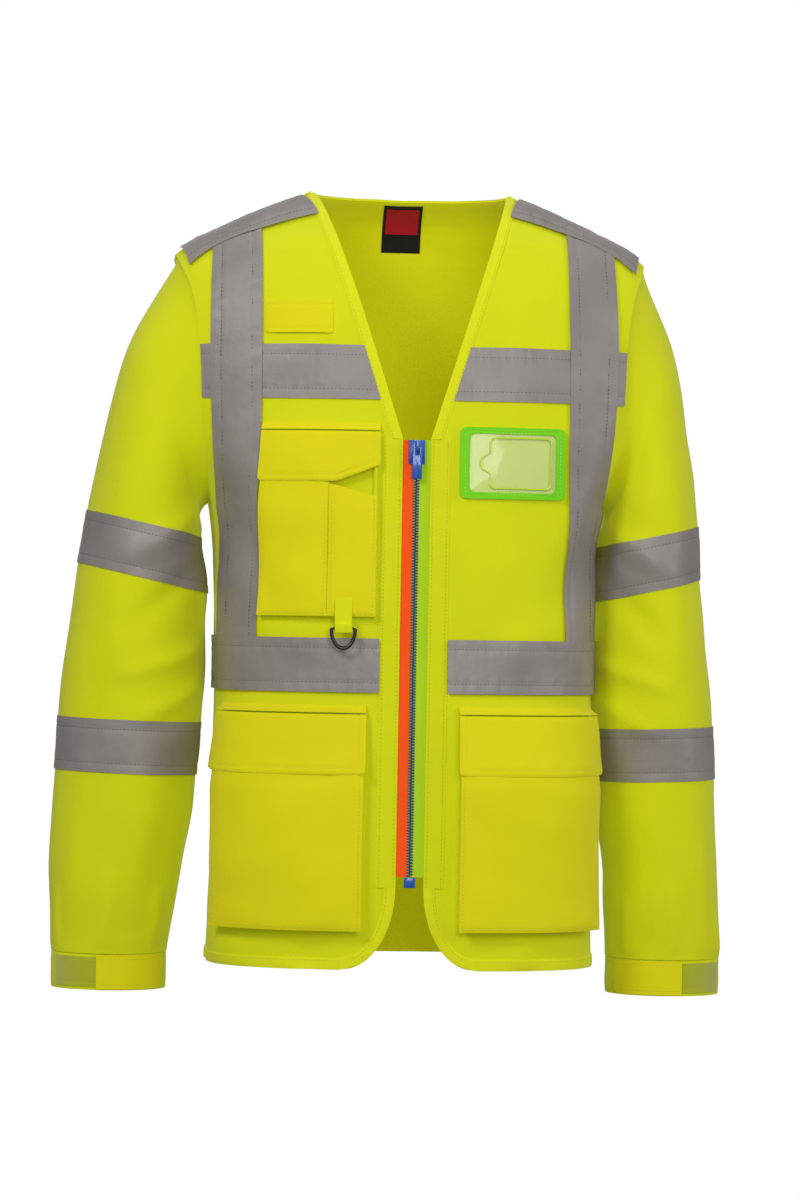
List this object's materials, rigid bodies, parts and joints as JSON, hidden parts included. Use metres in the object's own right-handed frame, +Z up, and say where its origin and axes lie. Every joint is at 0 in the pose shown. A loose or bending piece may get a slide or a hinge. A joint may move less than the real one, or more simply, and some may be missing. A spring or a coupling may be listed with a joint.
{
  "type": "high-visibility work jacket",
  "caption": "Long-sleeved V-neck work jacket with a front zip, flapped bellows pockets, an ID holder, a radio tab, a D-ring and retroreflective tapes.",
  "frame": {"origin": "middle of the neck opening, level with the neck points", "axes": "+Z up along the wearer's neck, -Y out of the front, +X to the wearer's left"},
  "size_m": [0.6397, 0.2708, 0.7572],
  "materials": {
    "shell_fabric": "woven polyester, fluorescent yellow, dull sheen",
    "flap_fabric": "woven polyester, brighter fluorescent yellow",
    "reflective_tape": "glass-bead retroreflective tape, warm grey satin",
    "binding": "bias binding, fluorescent yellow",
    "zip_tape_orange": "woven zip tape, orange",
    "zip_tape_lime": "woven zip tape, lime",
    "zip_teeth": "moulded acetal, dark blue",
    "zip_hardware": "painted zip slider, royal blue",
    "id_border": "vivid green binding",
    "id_window": "clear flexible PVC",
    "d_ring_plastic": "moulded acetal, black",
    "hook_loop": "napped loop tape",
    "label": "plain woven label, black"
  },
  "bodies": {
    "torso": {"back_panel": "shell_fabric", "front_panel_right": "shell_fabric", "hem_binding_right": "binding", "front_placket_right": "shell_fabric", "chest_tape_right": "reflective_tape", "brace_tape_right": "reflective_tape", "waist_tape_right": "reflective_tape", "shoulder_tape_right": "reflective_tape", "zip_teeth_right": "zip_teeth", "lower_pocket_gusset_right": "flap_fabric", "lower_pocket_wall_right": "flap_fabric", "lower_flap_strip_right": "flap_fabric", "front_panel_left": "shell_fabric", "hem_binding_left": "binding", "front_placket_left": "shell_fabric", "chest_tape_left": "reflective_tape", "brace_tape_left": "reflective_tape", "waist_tape_left": "reflective_tape", "shoulder_tape_left": "reflective_tape", "zip_teeth_left": "zip_teeth", "lower_pocket_gusset_left": "flap_fabric", "lower_pocket_wall_left": "flap_fabric", "lower_flap_strip_left": "flap_fabric", "zip_tape_right": "zip_tape_orange", "zip_tape_left": "zip_tape_lime", "neck_binding": "binding", "hem_binding_back": "binding", "neck_label": "label", "chest_tape_back": "reflective_tape", "waist_tape_back": "reflective_tape", "zip_bottom_box": "zip_hardware", "chest_pocket_gusset": "shell_fabric", "chest_pocket_wall": "shell_fabric", "pen_pocket_wall": "flap_fabric", "chest_flap_strip": "flap_fabric", "d_ring_webbing": "shell_fabric", "id_holder_back": "id_border", "id_holder_window": "id_window", "id_holder_frame": "id_border", "mic_tab": "flap_fabric"},
    "sleeve_right": {"sleeve_right": "shell_fabric", "sleeve_tape_upper_right": "reflective_tape", "sleeve_tape_lower_right": "reflective_tape", "cuff_right": "shell_fabric", "cuff_loop_strip_right": "hook_loop"},
    "cuff_tab_right": {"cuff_tab_right": "flap_fabric"},
    "lower_flap_right": {"lower_pocket_flap_right": "flap_fabric"},
    "sleeve_left": {"sleeve_left": "shell_fabric", "sleeve_tape_upper_left": "reflective_tape", "sleeve_tape_lower_left": "reflective_tape", "cuff_left": "shell_fabric", "cuff_loop_strip_left": "hook_loop"},
    "cuff_tab_left": {"cuff_tab_left": "flap_fabric"},
    "lower_flap_left": {"lower_pocket_flap_left": "flap_fabric"},
    "chest_flap": {"chest_pocket_flap": "flap_fabric"},
    "zip_slider": {"zip_slider": "zip_hardware"},
    "zip_pull": {"zip_pull": "zip_hardware"},
    "d_ring": {"d_ring": "d_ring_plastic"}
  },
  "joints": [
    {"name": "sleeve_lift_right", "type": "hinge", "parent": "torso", "child": "sleeve_right", "pos_m": [-0.222, 0, -0.066], "axis": [0, 1, 0], "range_deg": [0, 45]},
    {"name": "cuff_tab_peel_right", "type": "hinge", "parent": "sleeve_right", "child": "cuff_tab_right", "pos_m": [-0.224, -0.0238, -0.7393], "axis": [0, 0, 1], "range_deg": [0, 75]},
    {"name": "lower_flap_lift_right", "type": "hinge", "parent": "torso", "child": "lower_flap_right", "pos_m": [-0.11565, -0.12682, -0.4923], "axis": [-0.909, 0.4168, 0], "range_deg": [0, 135]},
    {"name": "sleeve_lift_left", "type": "hinge", "parent": "torso", "child": "sleeve_left", "pos_m": [0.222, 0, -0.066], "axis": [0, -1, 0], "range_deg": [0, 45]},
    {"name": "cuff_tab_peel_left", "type": "hinge", "parent": "sleeve_left", "child": "cuff_tab_left", "pos_m": [0.204, -0.0238, -0.7393], "axis": [0, 0, -1], "range_deg": [0, 75]},
    {"name": "lower_flap_lift_left", "type": "hinge", "parent": "torso", "child": "lower_flap_left", "pos_m": [0.11565, -0.12682, -0.4923], "axis": [-0.909, -0.4168, 0], "range_deg": [0, 135]},
    {"name": "chest_flap_lift", "type": "hinge", "parent": "torso", "child": "chest_flap", "pos_m": [-0.08853, -0.13322, -0.2313], "axis": [-0.9909, 0.1349, 0], "range_deg": [0, 135]},
    {"name": "zip_slide", "type": "slide", "parent": "torso", "child": "zip_slider", "axis": [0, 0, -1], "range_m": [0, 0.378]},
    {"name": "zip_pull_swing", "type": "hinge", "parent": "zip_slider", "child": "zip_pull", "pos_m": [0, -0.1354, -0.245], "axis": [-1, 0, 0], "range_deg": [0, 150]},
    {"name": "d_ring_swing", "type": "hinge", "parent": "torso", "child": "d_ring", "pos_m": [-0.066, -0.14205, -0.4129], "axis": [-1, 0, 0], "range_deg": [0, 140]}
  ]
}
